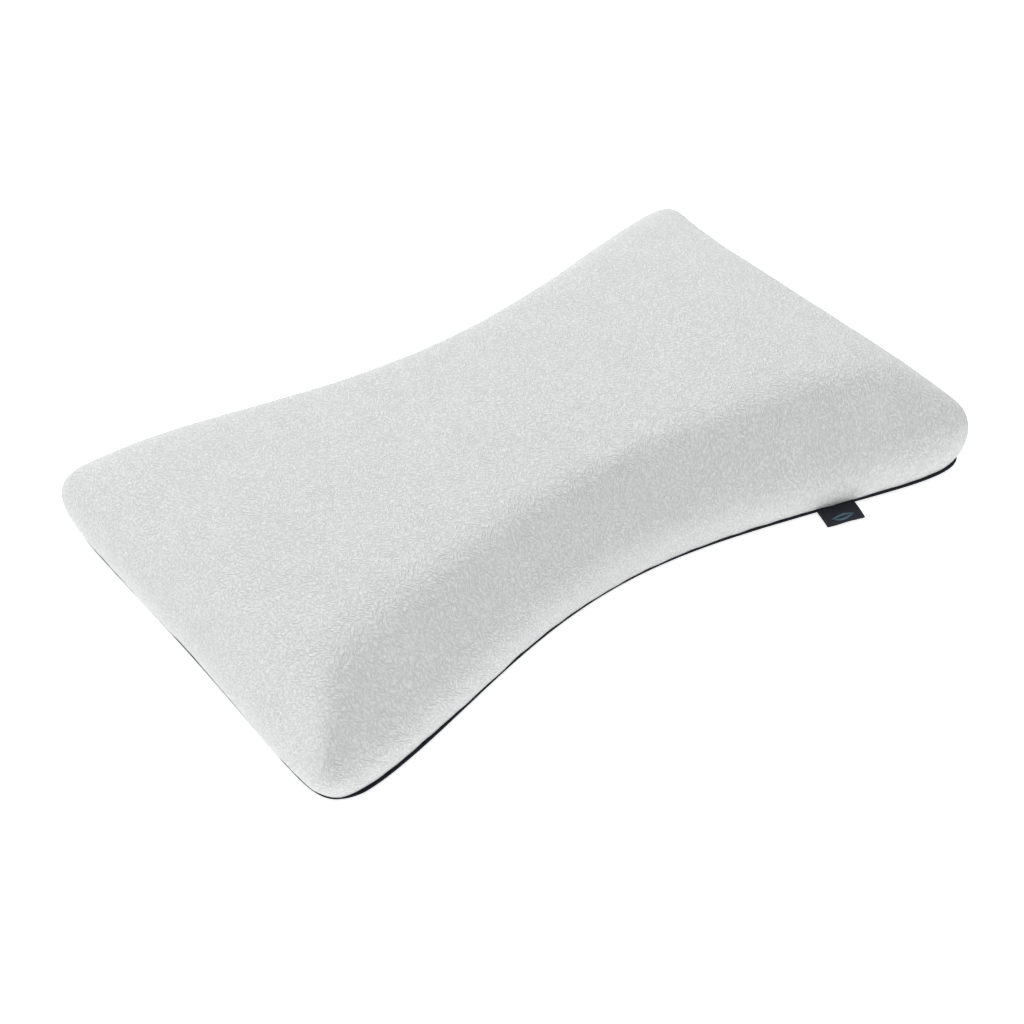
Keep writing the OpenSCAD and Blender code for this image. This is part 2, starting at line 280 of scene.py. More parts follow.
class PillowGrid:
    """A grid of points over the pillow: rows of rings up the walls, and a grid over the top.

    window_steps of the end_steps lie beside the zip's window, so that its corners are on the grid.
    """

    def __init__(self, end_steps, side_steps, window_steps, window_rows, wall_rows, slope_rows):
        self.end_steps = end_steps
        self.side_steps = side_steps
        self.window_steps = window_steps
        self.window_rows = window_rows
        self.wall_rows = wall_rows
        end_run = half_width - girth_corner + girth_corner * math.pi / 4
        window_share = zip_half_length / end_run
        self.end_shares = np.concatenate([
            np.linspace(0, window_share, window_steps, endpoint=False),
            np.linspace(window_share, 1, end_steps - window_steps + 1),
        ])
        self.side_shares = np.linspace(0, 1, side_steps + 1)
        self.slope_rows = slope_rows
        self.ring_points = 4 * (end_steps + side_steps)
        self.girth = whole_outline(self.quarter(0, girth_corner))
        self.normal = outward(self.girth)
        self.normal_3d = raised(self.normal, 0.0)
        self.crest = whole_outline(self.quarter(CREST_INSET, 0.01))

    def quarter(self, inset, corner):
        """One quarter of the plain plan, moved in, with a point for each step of the grid."""
        return quarter_outline(
            half_length - inset, half_width - inset, corner, self.end_shares, self.side_shares
        )

    def at_heights(self, heights, depth=0.0):
        """Points of the wall, at rows of heights with one for each point of the ring."""
        inside = self.girth - WALL_MARGIN * self.normal
        start = raised(np.broadcast_to(inside, heights.shape + (2,)), heights)
        return find_surface(start, self.normal_3d, 2 * WALL_MARGIN, depth)

    def layer(self, depth, floor):
        """Points of one layer of the pillow: (walls, top, cloth on the walls, cloth on the top).

        floor is the lowest height, one number or one for each point of the ring. The cloth
        arrays say where each point lies on the cloth laid flat, in millimetres.
        """
        floor = np.broadcast_to(floor, (self.ring_points,))
        window, girth = np.full_like(floor, window_top), np.full_like(floor, girth_height)
        heights = np.concatenate([
            np.linspace(floor, window, self.window_rows, endpoint=False),
            np.linspace(window, girth, self.wall_rows, endpoint=False),
            girth[None],
        ])
        walls = self.at_heights(heights, depth)

        run = unit(walls[-1, :, :2] - self.crest)
        anchor = raised(self.crest, girth_height)

        def slope_points(angles):
            direction = raised(np.cos(angles)[..., None] * run, np.sin(angles))
            return find_surface(anchor, direction, FAR_OUT, depth)

        dense = np.broadcast_to(
            np.linspace(0, math.pi / 2, DENSE_STEPS)[:, None], (DENSE_STEPS, self.ring_points)
        )
        rough = slope_points(dense)
        steps = np.linalg.norm(np.diff(rough, axis=0), axis=-1)
        length = np.concatenate([np.zeros((1, self.ring_points)), np.cumsum(steps, axis=0)])
        wanted = np.linspace(0, 1, self.slope_rows + 1)[1:]
        angles = np.stack([
            np.interp(wanted * length[-1, k], length[:, k], dense[:, k])
            for k in range(self.ring_points)
        ], axis=-1)
        walls = np.concatenate([walls, slope_points(angles)])

        down = np.linalg.norm(np.diff(walls, axis=0), axis=-1)
        below_crest = np.concatenate([
            np.cumsum(down[::-1], axis=0)[::-1], np.zeros((1, self.ring_points))
        ])
        walls_cloth = self.crest + run * below_crest[..., None]

        flat_crest = self.quarter(CREST_INSET, 0.01)[self.end_steps:, 0]
        top_x = np.concatenate([flat_crest, -flat_crest[-2::-1]])
        top_y = np.concatenate([-self.end_shares[::-1], self.end_shares[1:]])
        top_y = top_y * (half_width - CREST_INSET)
        plan = waisted(np.stack(np.meshgrid(top_x, top_y, indexing="ij"), axis=-1))
        rim = self.rim_of_top()
        plan[rim[:, 0], rim[:, 1]] = self.crest
        top = find_surface(raised(plan, girth_height), UP, FAR_OUT, depth)
        return walls, top, walls_cloth, plan

    def rim_of_top(self):
        """The place in the top's grid of each point of the ring around it."""
        ends, sides = 2 * self.end_steps, 2 * self.side_steps
        right_upper = [(0, j) for j in range(self.end_steps, ends)]
        back = [(i, ends) for i in range(sides)]
        left = [(sides, j) for j in range(ends, 0, -1)]
        front = [(i, 0) for i in range(sides, 0, -1)]
        right_lower = [(0, j) for j in range(self.end_steps)]
        return np.array(right_upper + back + left + front + right_lower)

    def indices(self, walls, first):
        """Vertex numbers of the walls' grid and the top's grid, which share the crest's ring."""
        rows = walls.shape[0]
        wall_index = first + np.arange(rows * self.ring_points).reshape(rows, self.ring_points)
        shape = (2 * self.side_steps + 1, 2 * self.end_steps + 1)
        top_index = np.full(shape, -1)
        rim = self.rim_of_top()
        top_index[rim[:, 0], rim[:, 1]] = wall_index[-1]
        inner = top_index < 0
        top_index[inner] = first + rows * self.ring_points + np.arange(inner.sum())
        return wall_index, top_index, inner

    def faces(self, wall_index, top_index, window=False):
        """Quads of one layer, with or without the window over the zip."""
        walls = grid_quads(wall_index, close_columns=True)[..., ::-1]
        kept = np.ones(walls.shape[:2], bool)
        if window:
            kept[:self.window_rows, :self.window_steps] = False
            kept[:self.window_rows, -self.window_steps:] = False
        top = grid_quads(top_index)[..., ::-1].reshape(-1, 4)
        return np.roll(np.concatenate([walls[kept], top]), 1, axis=1).tolist()

    def rim_path(self, wall_index, window=False):
        """The open lower edge of a layer as vertex numbers, round the window if there is one."""
        if not window:
            return list(wall_index[0])
        left, right = self.ring_points - self.window_steps, self.window_steps
        rows = self.window_rows
        path = [wall_index[0, k] for k in range(right, left + 1)]
        path += [wall_index[r, left] for r in range(1, rows)]
        path += [wall_index[rows, k % self.ring_points] for k in range(left, left + 2 * right + 1)]
        path += [wall_index[r, right] for r in range(rows - 1, 0, -1)]
        return path


# ---------------- building meshes


def add_mesh(name, points, faces, material, cloth=None, smooth=True, turn=True):
    """A mesh object from points in millimetres. cloth is each point's place on the flat cloth.

    turn makes all faces look outwards. Cut plates do already, and their parts aren't joined.
    """
    mesh = bpy.data.meshes.new(name)
    points = np.asarray(points, float) * MM
    mesh.from_pydata(points.tolist(), [], [[int(v) for v in face] for face in faces])
    mesh.validate()
    if turn:
        turned = bmesh.new()
        turned.from_mesh(mesh)
        bmesh.ops.recalc_face_normals(turned, faces=turned.faces)
        turned.to_mesh(mesh)
        turned.free()
    if cloth is not None:
        flat = np.zeros((len(points), 3), np.float32)
        cloth = np.asarray(cloth, float)
        flat[:, : cloth.shape[1]] = cloth * MM
        layer = mesh.attributes.new("cloth", "FLOAT_VECTOR", "POINT")
        layer.data.foreach_set("vector", flat.ravel())
    mesh.materials.append(material)
    if smooth:
        mesh.shade_smooth()
    piece = bpy.data.objects.new(name, mesh)
    bpy.context.scene.collection.objects.link(piece)
    return piece


def settle(piece, body, node=None):
    """Names the body that carries a piece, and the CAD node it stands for."""
    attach(piece, body)
    if node:
        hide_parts(node)


def grid_quads(index, close_rows=False, close_columns=False):
    """Quads of a grid of vertex numbers, which may close on itself either way."""
    index = np.asarray(index)
    if close_rows:
        index = np.concatenate([index, index[:1]])
    if close_columns:
        index = np.concatenate([index, index[:, :1]], axis=1)
    return np.stack([index[:-1, :-1], index[1:, :-1], index[1:, 1:], index[:-1, 1:]], axis=-1)


def grid_faces(rows, columns, close_rows=False, close_columns=False):
    """Quads of a grid of points that are numbered row by row."""
    index = np.arange(rows * columns).reshape(rows, columns)
    return grid_quads(index, close_rows, close_columns).reshape(-1, 4).tolist()


def tube_faces(rings, sides):
    """Quads of a tube made of rings of points, and a face over each end."""
    last = (rings - 1) * sides
    ends = [list(range(sides)), [last + k for k in range(sides)][::-1]]
    return grid_faces(rings, sides, close_columns=True) + ends


def unit(vectors):
    """The same directions with a length of 1."""
    return vectors / np.linalg.norm(vectors, axis=-1, keepdims=True)


def distances(path):
    """How far along a path each of its points is."""
    return np.concatenate([[0], np.cumsum(np.linalg.norm(np.diff(path, axis=0), axis=1))])


def sweep(path, across, up, section):
    """Points of a section, or of one for each point, as (across, up) pairs along a path."""
    section = np.asarray(section, float)
    return path[:, None] + section[..., :1] * across[:, None] + section[..., 1:] * up[:, None]


def circle(sides):
    """Points around a circle of radius 1, anticlockwise."""
    angle = 2 * math.pi * np.arange(sides) / sides
    return np.stack([np.cos(angle), np.sin(angle)], axis=-1)


def joined(parts):
    """One list of points and one of faces from several (points, faces) pairs."""
    points, faces, count = [], [], 0
    for part_points, part_faces in parts:
        part_points = np.asarray(part_points, float).reshape(-1, 3)
        points.append(part_points)
        faces += [[v + count for v in face] for face in part_faces]
        count += len(part_points)
    return np.concatenate(points), faces


def cut_plate(outline, holes, thickness, bevel):
    """(points, faces) of a flat plate in XY with rounded edges, centred on z = 0."""
    curve = bpy.data.curves.new("plate", "CURVE")
    curve.dimensions = "2D"
    curve.fill_mode = "BOTH"
    curve.extrude = thickness / 2 - bevel
    curve.bevel_depth = bevel
    curve.bevel_resolution = 2
    curve.offset = -bevel
    for loop in [outline, *holes]:
        spline = curve.splines.new("POLY")
        spline.points.add(len(loop) - 1)
        for point, (x, y) in zip(spline.points, loop):
            point.co = (x, y, 0, 1)
        spline.use_cyclic_u = True
    shape = bpy.data.objects.new("plate", curve)
    bpy.context.scene.collection.objects.link(shape)
    graph = bpy.context.evaluated_depsgraph_get()
    mesh = bpy.data.meshes.new_from_object(shape.evaluated_get(graph))
    points = np.array([v.co for v in mesh.vertices], float)
    faces = [list(p.vertices) for p in mesh.polygons]
    bpy.data.objects.remove(shape)
    bpy.data.curves.remove(curve)
    bpy.data.meshes.remove(mesh)
    return points, faces


def rounded_outline(width, height, corner, centre=(0, 0), steps=6):
    """A rounded rectangle, anticlockwise."""
    corner = min(corner, width / 2 - 1e-3, height / 2 - 1e-3)
    points = []
    for quarter, (sx, sy) in enumerate([(1, 1), (-1, 1), (-1, -1), (1, -1)]):
        for step in range(steps + 1):
            angle = (quarter + step / steps) * math.pi / 2
            points.append((
                centre[0] + sx * (width / 2 - corner) + corner * math.cos(angle),
                centre[1] + sy * (height / 2 - corner) + corner * math.sin(angle),
            ))
    return points


def stitches(path, lift, length, gap, radius):
    """(points, faces) of a row of stitches along a path; lift points out of the cloth."""
    lift = np.broadcast_to(lift, path.shape)
    run = distances(path)
    parts = []
    sides, rings = 6, 7
    for begin in np.arange(gap, run[-1] - length, length + gap):
        where = begin + length * np.linspace(0, 1, rings)
        centre = np.stack([np.interp(where, run, path[:, i]) for i in range(3)], axis=-1)
        out = np.stack([np.interp(where, run, lift[:, i]) for i in range(3)], axis=-1)
        side = np.cross(unit(centre[-1] - centre[0]), out)
        arch = np.sin(np.linspace(0, math.pi, rings))
        centre = centre + out * (radius * (1.3 * arch - 0.7))[:, None]
        thick = radius * (0.55 + 0.45 * arch)
        ring = sweep(centre, side, out, thick[:, None, None] * circle(sides))
        parts.append((ring, tube_faces(rings, sides)))
    return joined(parts)


def surface_normal(points):
    """Unit vectors out of the cover at points on it."""
    step = 0.5
    return unit(np.stack(
        [outside(points + o) - outside(points - o) for o in np.eye(3) * step], axis=-1
    ))


def ripples(points, seed, shortest, longest):
    """A smooth random undulation over points, mostly between -1 and 1."""
    random = np.random.default_rng(seed)
    total = np.zeros(points.shape[:-1])
    waves = 14
    for _ in range(waves):
        direction = random.normal(size=points.shape[-1])
        direction /= np.linalg.norm(direction) * random.uniform(shortest, longest)
        total += np.sin(2 * math.pi * (points @ direction + random.uniform()))
    return total / math.sqrt(waves)


def tube(path, radius, sides):
    """(points, faces) of a round wire along a path."""
    along = unit(np.gradient(path, axis=0))
    across = np.empty_like(path)
    side = np.cross(along[0], [0.3, 0.5, 0.8])
    for k, direction in enumerate(along):
        side = side - direction * (side @ direction)
        side = side / np.linalg.norm(side)
        across[k] = side
    rings = sweep(path, across, np.cross(along, across), radius * circle(sides))
    return rings.reshape(-1, 3), tube_faces(len(path), sides)


def prism(section, y_values):
    """(points, faces) of a closed (x, z) section carried along Y."""
    rings = np.empty((len(y_values), len(section), 3))
    rings[..., [0, 2]] = section
    rings[..., 1] = y_values[:, None]
    return rings.reshape(-1, 3), tube_faces(len(y_values), len(section))


# ---------------- materials


def wire(tree, kind, inputs, output=0, **settings):
    """Adds a node, sets or links its inputs, and returns one of its outputs."""
    made = tree.nodes.new("ShaderNode" + kind)
    for name, value in settings.items():
        setattr(made, name, value)
    for name, value in inputs.items():
        if isinstance(value, bpy.types.NodeSocket):
            tree.links.new(value, made.inputs[name])
        else:
            made.inputs[name].default_value = value
    return made.outputs[output] if made.outputs else None


def math_node(tree, operation, a, b=0.0):
    """One step of arithmetic."""
    return wire(tree, "Math", {0: a, 1: b}, operation=operation)


def plus(tree, *terms):
    """The sum of the terms, each a value or a (value, factor) pair."""
    total = None
    for term in terms:
        if isinstance(term, tuple):
            term = times(tree, *term)
        total = term if total is None else math_node(tree, "ADD", total, term)
    return total


def times(tree, a, b):
    """The product of two values."""
    return math_node(tree, "MULTIPLY", a, b)


def vector_math(tree, operation, a, b):
    """One step of arithmetic on vectors."""
    return wire(tree, "VectorMath", {0: a, 1: b}, operation=operation)


def x_and_y(tree, vector, axes=(0, 1)):
    """Two of the three parts of a vector."""
    parts = tree.nodes.new("ShaderNodeSeparateXYZ")
    tree.links.new(vector, parts.inputs[0])
    return [parts.outputs[axis] for axis in axes]


def mix_colours(tree, factor, a, b):
    """A colour between two others."""
    return wire(tree, "Mix", {0: factor, 6: a, 7: b}, output=2, data_type="RGBA")


def ramp(tree, value, low, high, to_low=0.0, to_high=1.0):
    """A value that goes smoothly from one level to another as its input goes from low to high."""
    return wire(
        tree, "MapRange",
        {"Value": value, "From Min": low, "From Max": high, "To Min": to_low, "To Max": to_high},
        interpolation_type="SMOOTHSTEP",
    )


def coordinates(tree, source):
    """Where a point is, in metres: on the flat cloth, or in the object."""
    if source == "cloth":
        return wire(tree, "Attribute", {}, output=1, attribute_name="cloth")
    return wire(tree, "TexCoord", {}, output=3)


def noise(tree, place, size, detail=2.0, output=0):
    """Noise whose features are about a size in millimetres."""
    inputs = {"Vector": place, "Scale": 1 / (size * MM), "Detail": detail}
    return wire(tree, "TexNoise", inputs, output)


def finished(name, tree, colour, height, depth, **shader):
    """Joins colour and bump to the shader. depth is the height of the relief in millimetres."""
    normal = wire(tree, "Bump", {"Height": height, "Distance": depth * MM, "Strength": 1.0})
    inputs = {"Base Color": colour, "Normal": normal}
    inputs.update({key.replace("_", " "): value for key, value in shader.items()})
    surface = wire(tree, "BsdfPrincipled", inputs)
    wire(tree, "OutputMaterial", {"Surface": surface})
    return bpy.data.materials[name]


def new_tree(name):
    """The empty node tree of a new material."""
    material = bpy.data.materials.new(name)
    material.use_nodes = True
    material.node_tree.nodes.clear()
    return material.node_tree


def grey(value, tint=(1.0, 1.0, 1.0)):
    """A grey as a colour, with a tint over it."""
    return tuple(value * t for t in tint) + (1.0,)


# The size of a weave's paler patches, in millimetres
FLECK = 4.0


def weave(name, dark, light, pitch, source="cloth", axes=(0, 1), slant=0.0, depth=0.12, **shader):
    """A woven cloth: threads that cross with a pitch in millimetres, as twill if slant isn't 0."""
    tree = new_tree(name)
    place = coordinates(tree, source)
    drift = noise(tree, place, 12.0)
    turns = 2 * math.pi / (pitch * MM)
    u, v = [times(tree, part, turns) for part in x_and_y(tree, place, axes)]
    first = math_node(tree, "SINE", plus(tree, u, (drift, 3.0), (v, slant)))
    second = math_node(tree, "SINE", v)
    crossed = times(tree, first, second if slant == 0 else 1.0)
    fuzz = noise(tree, place, pitch * 0.7, 3.0)
    height = plus(tree, crossed, (second, 0.35), (fuzz, 1.2))
    patches = ramp(tree, noise(tree, place, FLECK), 0.3, 0.7)
    # Painted shade: the tone follows the relief, so raised threads are lighter and the low ones
    # darker. The patches are a random tone.
    tone_with_painted_shade = plus(tree, (ramp(tree, height, -0.8, 1.8), 0.75), (patches, 0.25))
    colour = mix_colours(tree, tone_with_painted_shade, dark, light)
    return finished(name, tree, colour, height, depth, **shader)


LOOP_PITCH = 0.7


def knit_material(name):
    """A jacquard knit: short raised dashes in wandering directions over fine loops."""
    tree = new_tree(name)
    place = coordinates(tree, "cloth")
    wander = wire(tree, "TexNoise", {"Vector": place, "Scale": 90.0, "Detail": 1.0}, output=1)
    wander = vector_math(tree, "SUBTRACT", wander, (0.5, 0.5, 0.5))
    wander = vector_math(tree, "MULTIPLY", wander, (0.0026, 0.0026, 0.0))
    warped = vector_math(tree, "ADD", place, wander)
    fields = []
    for turn in (0.35, -0.75):
        turned = wire(
            tree, "VectorRotate", {"Vector": warped, "Angle": turn}, rotation_type="Z_AXIS"
        )
        scaled = vector_math(tree, "MULTIPLY", turned, (760.0, 360.0, 0.0))
        distance = wire(
            tree, "TexVoronoi", {"Vector": scaled, "Scale": 1.0, "Randomness": 0.9},
            voronoi_dimensions="2D", feature="SMOOTH_F1",
        )
        fields.append(ramp(tree, distance, 0.55, 0.12))
    where = ramp(tree, noise(tree, place, 12.0, 1.0), 0.42, 0.58)
    dash = wire(tree, "Mix", {0: where, 2: fields[0], 3: fields[1]}, data_type="FLOAT")
    turns = 2 * math.pi / (LOOP_PITCH * MM)
    loops = times(tree, *[
        math_node(tree, "SINE", times(tree, part, turns)) for part in x_and_y(tree, warped)
    ])
    fuzz = noise(tree, place, 0.8, 4.0)
    height = plus(tree, dash, (loops, 0.12), (fuzz, 0.45))
    # Painted shade: the pits are dark spots of shade with no relief of their own. The tone also
    # follows the height of the dashes and the fuzz, so the valleys between them are darker. cloudy
    # is a random tone.
    painted_pit_shade = ramp(tree, noise(tree, warped, 1.3, 2.0), 0.58, 0.68)
    cloudy = math_node(tree, "SUBTRACT", noise(tree, place, 40.0, 2.0), 0.5)
    tone_with_painted_shade = plus(tree, (dash, 0.7), (fuzz, 0.3), (painted_pit_shade, -0.8), (cloudy, 0.3))
    dark, light = grey(0.68, (0.985, 1.0, 0.998)), grey(0.90, (0.99, 1.0, 0.995))
    colour = mix_colours(tree, tone_with_painted_shade, dark, light)
    return finished(
        name, tree, colour, height, 0.5,
        Roughness=0.9, Sheen_Weight=0.18, Sheen_Roughness=0.5, Specular_IOR_Level=0.2,
    )


def foam_material(name):
    """Open-cell foam: fine pores in a cream skin."""
    tree = new_tree(name)
    place = coordinates(tree, "object")
    pores = wire(
        tree, "TexVoronoi", {"Vector": place, "Scale": 900.0, "Randomness": 1.0}, feature="F1"
    )
    big = ramp(tree, noise(tree, place, 5.0, 3.0), 0.62, 0.75)
    height = math_node(tree, "SUBTRACT", ramp(tree, pores, 0.1, 0.6), big)
    # Painted shade: the tone follows the relief, so the pores and hollows are darker.
    tone_with_painted_shade = ramp(tree, height, -0.4, 1.0)
    colour = mix_colours(tree, tone_with_painted_shade, grey(0.66, (1.0, 0.94, 0.76)), grey(0.86, (1.0, 0.96, 0.85)))
    return finished(
        name, tree, colour, height, 0.35,
        Roughness=0.95, Subsurface_Weight=0.08, Subsurface_Scale=0.01,
    )


def metal_material(name, dark, light, roughness):
    """Plated metal with fine brushing and patchy wear."""
    tree = new_tree(name)
    place = coordinates(tree, "object")
    stretched = vector_math(tree, "MULTIPLY", place, (1.0, 0.12, 1.0))
    brushed = noise(tree, stretched, 0.25, 3.0)
    worn = noise(tree, place, 2.5, 3.0)
    colour = mix_colours(tree, ramp(tree, worn, 0.35, 0.65), dark, light)
    rough = ramp(tree, brushed, 0.3, 0.7, roughness - 0.08, roughness + 0.12)
    return finished(name, tree, colour, brushed, 0.012, Metallic=1.0, Roughness=rough)


def coil_material(name):
    """Nylon coil: satin plastic with a drawn grain."""
    tree = new_tree(name)
    place = coordinates(tree, "object")
    grain = noise(tree, place, 0.35, 3.0)
    dark, light = grey(0.018, (0.7, 0.85, 1.4)), grey(0.045, (0.7, 0.85, 1.4))
    colour = mix_colours(tree, noise(tree, place, 3.0, 2.0), dark, light)
    rough = ramp(tree, grain, 0.3, 0.7, 0.28, 0.45)
    return finished(name, tree, colour, grain, 0.015, Roughness=rough)


def thread_material(name, dark, light, source="object", **shader):
    """Twisted thread."""
    tree = new_tree(name)
    place = coordinates(tree, source)
    strands = wire(
        tree, "TexWave", {"Vector": place, "Scale": 420.0, "Distortion": 2.0, "Detail": 2.0},
        output=1, bands_direction="DIAGONAL",
    )
    # Painted shade: the colour follows the strands' relief, so the grooves of the twist are darker.
    colour = mix_colours(tree, times(tree, strands, 0.9), dark, light)
    return finished(name, tree, colour, strands, 0.05, **shader)


NAVY = (0.72, 0.85, 1.7)
knit = knit_material("knit_jacquard")
base_cloth = weave(
    "base_twill", grey(0.006, NAVY), grey(0.022, NAVY), 1.1, slant=1.0, depth=0.16,
    Roughness=0.9, Sheen_Weight=0.05, Specular_IOR_Level=0.15,
)
piping_weave = weave(
    "piping_cotton", grey(0.005, NAVY), grey(0.018, NAVY), 0.7, slant=0.7, depth=0.1,
    Roughness=0.85, Sheen_Weight=0.04, Specular_IOR_Level=0.15,
)
tape_weave = weave(
    "zip_tape_weave", grey(0.012, NAVY), grey(0.040, NAVY), 0.8, "object", (1, 2), 1.0, 0.12,
    Roughness=0.75, Sheen_Weight=0.15,
)
label_weave = weave(
    "label_satin", grey(0.011, (0.8, 0.95, 1.4)), grey(0.034, (0.8, 0.95, 1.4)), 0.5, depth=0.05,
    Roughness=0.6, Sheen_Weight=0.05, Specular_IOR_Level=0.2,
)
care_weave = weave(
    "care_satin", grey(0.70), grey(0.84), 0.45, depth=0.04, Roughness=0.45, Sheen_Weight=0.1
)
liner_knit = weave(
    "liner_jersey", grey(0.66), grey(0.84), 1.4, slant=0.3, depth=0.15, Roughness=0.95
)
foam_skin = foam_material("memory_foam")
cord_cotton = thread_material("piping_cotton_cord", grey(0.55), grey(0.82), Roughness=0.95)
navy_thread = thread_material("navy_thread", grey(0.014, NAVY), grey(0.05, NAVY), Roughness=0.6)
pale_thread = thread_material("pale_thread", grey(0.45), grey(0.75), Roughness=0.6)
label_thread = thread_material(
    "label_thread", grey(0.06, (0.8, 1.0, 1.3)), grey(0.13, (0.8, 1.0, 1.3)), Roughness=0.5
)
print_ink = thread_material("care_print", grey(0.16), grey(0.30), Roughness=0.7)
zip_metal = metal_material("zip_gunmetal", grey(0.13, (1, 1, 1.05)), grey(0.30, (1, 1, 1.03)), 0.3)
zip_nylon = coil_material("zip_nylon")


# ---------------- the knit cover

grid = PillowGrid(
    end_steps=54, side_steps=84, window_steps=37, window_rows=7, wall_rows=6, slope_rows=30
)

# How far the cover hangs over the piping, round the ring: a little at the corners and the
# zip, more at the waist, and nearly down to the floor at the end without a zip
least_hang, more_at_waist, end_hang = 0.12, 0.66, 0.97
hang_reach, side_beyond, end_from, end_over = 285.0, 186.0, 262.0, 20.0
# What a full hang does: how far it lowers the piping and the cover, and draws in the piping
piping_drop, cover_drop, piping_draw = 1.8, 3.8, 2.6
ring_x, ring_y = grid.girth[:, 0], grid.girth[:, 1]
along_sides = np.abs(ring_y) < side_beyond
waist_hang = least_hang + more_at_waist * cosine_dip(ring_x, hang_reach) ** 0.75 * along_sides
left_hang = end_hang * np.clip((-ring_x - end_from) / end_over, 0, 1)
hang = np.maximum(waist_hang, left_hang)
piping_z = piping_height - piping_drop * hang
cover_floor = seam_height - cover_drop * hang


def with_life(points, floor):
    """The small unevenness of sewn cloth: long undulations, and puckers close to the seam."""
    amount = 0.32 * ripples(points, 3, 70.0, 150.0) + 0.10 * ripples(points, 5, 24.0, 45.0)
    above = np.clip(points[..., 2] - floor, 0, None)
    pucker = 0.14 * np.exp(-above / 7.0) * ripples(points[..., :2], 8, 11.0, 26.0)
    dip = 0.5 * np.exp(-((above - 2.0) / 2.6) ** 2)
    return points + surface_normal(points) * (amount + pucker - dip)[..., None]


def shell(name, depths, floor, material, window):
    """A closed shell of cloth: an outer and an inner face, joined round their open edge.

    The one with the window is the cover. The other is the liner, which has the hollow.
    """
    points, faces, cloth, rims = [], [], [], []
    count = 0
    for side, depth in enumerate(depths):
        walls, top, walls_cloth, top_cloth = grid.layer(depth, floor)
        if window:
            walls, top = with_life(walls, floor), with_life(top, 0.0)
        else:
            walls, top = held_in(walls, depth), held_in(top, depth)
        wall_index, top_index, inner = grid.indices(walls, count)
        quads = grid.faces(wall_index, top_index, window)
        faces += quads if side == 0 else [quad[::-1] for quad in quads]
        layer = [walls.reshape(-1, 3), top[inner]]
        points += layer
        cloth += [walls_cloth.reshape(-1, 2), top_cloth[inner]]
        rims.append(grid.rim_path(wall_index, window))
        count += sum(len(part) for part in layer)
    faces += grid_quads(rims, close_columns=True).reshape(-1, 4).tolist()
    return add_mesh(name, np.concatenate(points), faces, material, np.concatenate(cloth))


# The hollow behind the zip, as in the CAD model: its face, and where it starts to run out
relief_face = slider_low[0] - 0.6
relief_top, relief_half = 22.0, 131.0


def held_in(points, depth):
    """Keeps an inner layer clear of the slider's path behind the zip."""
    x, y, z = points[..., 0], points[..., 1], points[..., 2]
    over, beside = np.clip(z - relief_top, 0, None), np.clip(np.abs(y) - relief_half, 0, None)
    limit = relief_face - (depth - liner_depth) + 0.9 * over + 0.6 * beside
    return np.stack([np.minimum(x, limit), y, z], axis=-1)


cover = shell("knit_cover", (0.0, knit_thickness), cover_floor, knit, window=True)
settle(cover, "pillow", "cover_top")

# ---------------- liner and foam

liner_floor = box_mm("liner_base")[0][2]
liner_top_z = liner_floor + liner_thickness
liner_depths = liner_depth, liner_depth + liner_thickness
liner = shell("liner_top_sock", liner_depths, liner_top_z, liner_knit, window=False)
settle(liner, "pillow", "liner_top")


def across_faces(ring):
    """Quads that fill a ring, from each point to the one straight across the pillow."""
    quads = []
    for k in range(len(ring) // 2):
        quad = [ring[k], ring[-k], ring[-(k + 1)], ring[k + 1]]
        quads.append([v for i, v in enumerate(quad) if v not in quad[:i]])
    return quads


def panel(name, rings_below, rings_above, material):
    """A closed flat piece: rings from its edge in to the middle, under it and on top."""
    rings = [*rings_below[::-1], *rings_above]
    count = len(rings[0])
    points = np.concatenate(rings)
    last = (len(rings) - 1) * count
    faces = grid_faces(len(rings), count, close_columns=True)
    faces += across_faces(list(range(count))) + across_faces([last + k for k in range(count)])
    return add_mesh(name, points, faces, material, points[:, :2])


def inset_rings(edge, insets, heights):
    """Rings moved in from an edge, each at its own heights."""
    return [raised(edge[:, :2] - grid.normal * inset, z) for inset, z in zip(insets, heights)]


edge_heights = np.full(grid.ring_points, liner_floor + liner_thickness / 2)
liner_edge = held_in(grid.at_heights(edge_heights, liner_depth), liner_depth)
liner_insets, liner_rounding = (0, 0.15, 0.4, 6), np.array([0.3, 0.08, 0, 0])
liner_base = panel(
    "liner_base_panel",
    inset_rings(liner_edge, liner_insets, liner_floor + liner_rounding),
    inset_rings(liner_edge, liner_insets, liner_top_z - liner_rounding),
    liner_knit,
)
settle(liner_base, "pillow", "liner_base")

foam_floor = box_mm("foam_core")[0][2]
foam_round = 5.0
walls, top, _, _ = grid.layer(foam_depth, foam_floor + foam_round)
walls, top = held_in(walls, foam_depth), held_in(top, foam_depth)
curve = np.linspace(math.pi / 2, 0, 6)[:-1]
in_and_up = foam_round * (1 - np.cos(curve)), foam_floor + foam_round * (1 - np.sin(curve))
walls = np.concatenate([inset_rings(walls[0], *in_and_up), walls])
wall_index, top_index, inner = grid.indices(walls, 0)
foam_faces = grid.faces(wall_index, top_index) + across_faces(list(wall_index[0]))
foam = add_mesh(
    "foam_core_block", np.concatenate([walls.reshape(-1, 3), top[inner]]), foam_faces, foam_skin
)
settle(foam, "pillow", "foam_core")

# ---------------- piping and base panel

wall_at_piping = grid.at_heights(piping_z)
stand_out = 0.9 - piping_draw * hang
piping_line = wall_at_piping.copy()
piping_line[:, :2] += grid.normal * stand_out[:, None]
piping_line[:, 2] += 0.03 * ripples(piping_line[:, :2], 21, 18.0, 40.0)
up_3d = np.broadcast_to(UP, grid.normal_3d.shape)

